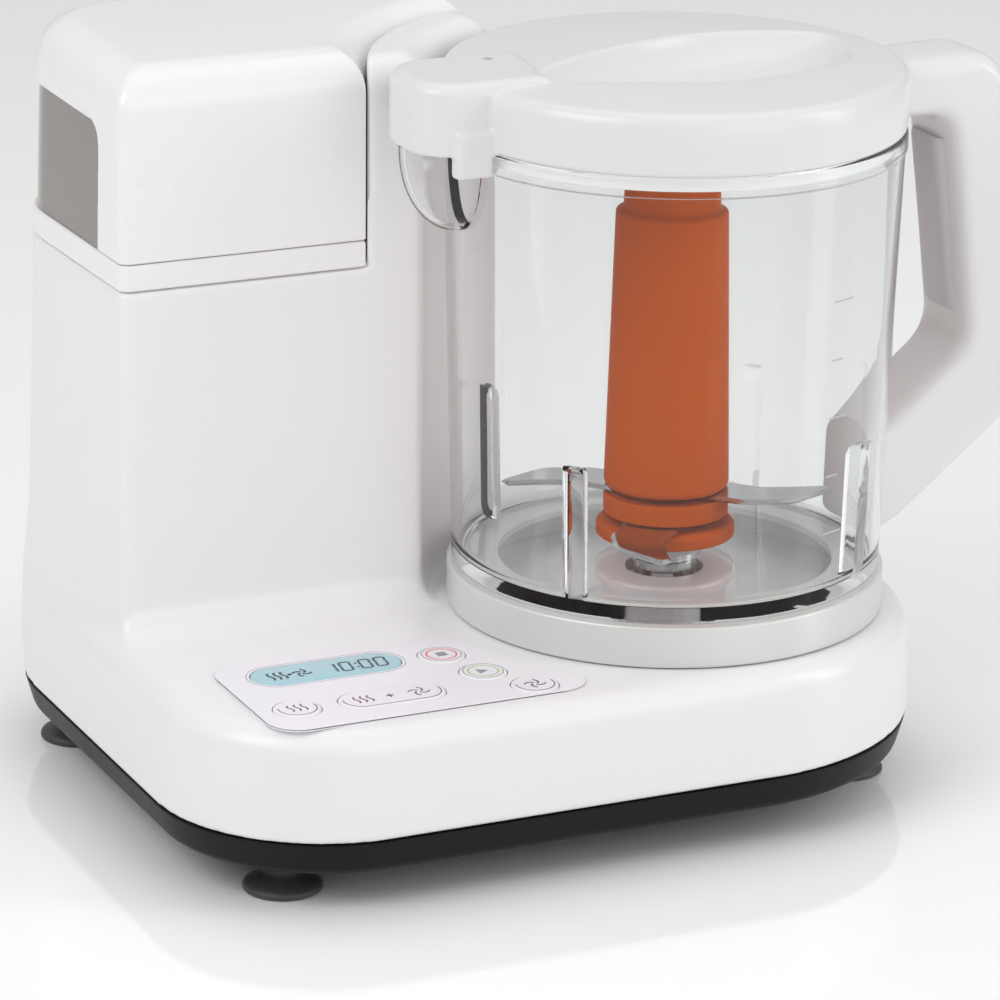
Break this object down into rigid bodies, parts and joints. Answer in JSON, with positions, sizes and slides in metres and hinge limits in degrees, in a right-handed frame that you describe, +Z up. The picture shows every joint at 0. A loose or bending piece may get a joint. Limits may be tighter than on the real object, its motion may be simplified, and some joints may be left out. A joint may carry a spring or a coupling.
{
  "type": "baby food maker",
  "caption": "Countertop steam-and-blend baby food maker: base with water tank tower and key panel, clear bowl with spout, side handle, blade unit and lid with steam arm.",
  "frame": {"origin": "under the middle of the whole object, on the surface it stands on", "axes": "+Z up; +X towards the bowl's handle; -Y is the front, where the keys and display are read"},
  "size_m": [0.2792, 0.203, 0.2155],
  "materials": {
    "white_plastic": "satin gloss",
    "charcoal_plastic": "matte",
    "grey_rubber": "matte",
    "clear_glass": "clear, polished",
    "smoke_plastic": "smoky, see-through",
    "silver_plastic": "satin silver",
    "orange_plastic": "satin",
    "panel_film": "printed film",
    "display_blue": "glossy lens",
    "key_film": "printed film",
    "steel": "satin",
    "aluminium": "cast",
    "board_green": "circuit board",
    "black_rubber": "matte",
    "silicone": "matte, pale",
    "grey_plastic": "satin",
    "bronze": "sintered bronze"
  },
  "bodies": {
    "base": {"base_housing": "white_plastic", "bottom_tray": "charcoal_plastic", "foot_front_left": "grey_rubber", "foot_front_right": "grey_rubber", "foot_back_left": "grey_rubber", "foot_back_right": "grey_rubber", "housing_screw_1": "steel", "housing_screw_2": "steel", "housing_screw_3": "steel", "housing_screw_4": "steel", "panel_overlay": "panel_film", "display_lens": "display_blue", "display_module": "display_blue", "control_board": "board_green", "motor_can": "steel", "motor_bracket": "aluminium", "spindle_bearing": "bronze", "drive_belt": "black_rubber", "boiler": "aluminium", "water_tube": "silicone", "steam_tube": "silicone", "steam_nozzle": "grey_plastic", "nozzle_gasket": "silicone", "valve_seat": "grey_plastic", "cord_gland": "black_rubber"},
    "motor_rotor": {"motor_shaft": "steel", "motor_pulley": "grey_plastic"},
    "drive": {"drive_shaft": "steel", "driven_pulley": "grey_plastic", "drive_coupling": "grey_plastic"},
    "bowl": {"bowl_shell": "clear_glass", "bowl_collar": "silver_plastic", "handle_outer": "white_plastic", "handle_inner": "grey_plastic", "hub_bush": "grey_plastic", "hub_seal": "black_rubber"},
    "blade_unit": {"blade_spindle": "steel", "blade_hub": "orange_plastic", "blade_lower": "steel", "blade_spacer": "orange_plastic", "blade_upper": "steel", "blade_column": "orange_plastic"},
    "lid_seal": {"lid_gasket": "silicone"},
    "lid": {"lid_shell": "white_plastic", "lid_duct_cover": "white_plastic"},
    "water_tank": {"tank_skirt": "white_plastic", "tank_reservoir": "smoke_plastic", "tank_valve": "grey_plastic", "tank_valve_seal": "silicone"},
    "tank_lid": {"tank_cover": "white_plastic"},
    "stop_key": {"key_stop": "key_film"},
    "start_key": {"key_start": "key_film"},
    "blend_key": {"key_blend": "key_film"},
    "steam_key": {"key_steam": "key_film"},
    "steam_blend_key": {"key_steam_blend": "key_film"}
  },
  "joints": [
    {"name": "drive_spin", "type": "hinge", "parent": "base", "child": "drive", "pos_m": [0.02645, -0.0303, 0], "axis": [0, 0, 1], "continuous": true},
    {"name": "motor_spin", "type": "hinge", "parent": "base", "child": "motor_rotor", "pos_m": [-0.08955, 0.0485, 0], "axis": [0, 0, 1], "continuous": true},
    {"name": "bowl_lift", "type": "slide", "parent": "base", "child": "bowl", "axis": [0, 0, 1], "range_m": [0, 0.17]},
    {"name": "blade_spin", "type": "hinge", "parent": "bowl", "child": "blade_unit", "pos_m": [0.02645, -0.0303, 0], "axis": [0, 0, 1], "continuous": true},
    {"name": "lid_lift", "type": "slide", "parent": "bowl", "child": "lid_seal", "axis": [0, 0, 1], "range_m": [0, 0.06]},
    {"name": "lid_turn", "type": "hinge", "parent": "lid_seal", "child": "lid", "pos_m": [0.02645, -0.0303, 0], "axis": [0, 0, 1], "range_deg": [0, 30]},
    {"name": "tank_lift", "type": "slide", "parent": "base", "child": "water_tank", "axis": [0, 0, 1], "range_m": [0, 0.08]},
    {"name": "tank_cover_lift", "type": "slide", "parent": "water_tank", "child": "tank_lid", "axis": [0, 0, 1], "range_m": [0, 0.07]},
    {"name": "stop_press", "type": "slide", "parent": "base", "child": "stop_key", "axis": [0, 0, -1], "range_m": [0, 0.0008], "stiffness_N_per_m": 400, "springref_m": -0.001},
    {"name": "start_press", "type": "slide", "parent": "base", "child": "start_key", "axis": [0, 0, -1], "range_m": [0, 0.0008], "stiffness_N_per_m": 400, "springref_m": -0.001},
    {"name": "blend_press", "type": "slide", "parent": "base", "child": "blend_key", "axis": [0, 0, -1], "range_m": [0, 0.0008], "stiffness_N_per_m": 400, "springref_m": -0.001},
    {"name": "steam_press", "type": "slide", "parent": "base", "child": "steam_key", "axis": [0, 0, -1], "range_m": [0, 0.0008], "stiffness_N_per_m": 400, "springref_m": -0.001},
    {"name": "steam_blend_press", "type": "slide", "parent": "base", "child": "steam_blend_key", "axis": [0, 0, -1], "range_m": [0, 0.0008], "stiffness_N_per_m": 400, "springref_m": -0.001}
  ],
  "couplings": [
    {"joint": "motor_spin", "follows": "drive_spin", "ratio": 2.5},
    {"joint": "blade_spin", "follows": "drive_spin", "ratio": 1}
  ]
}
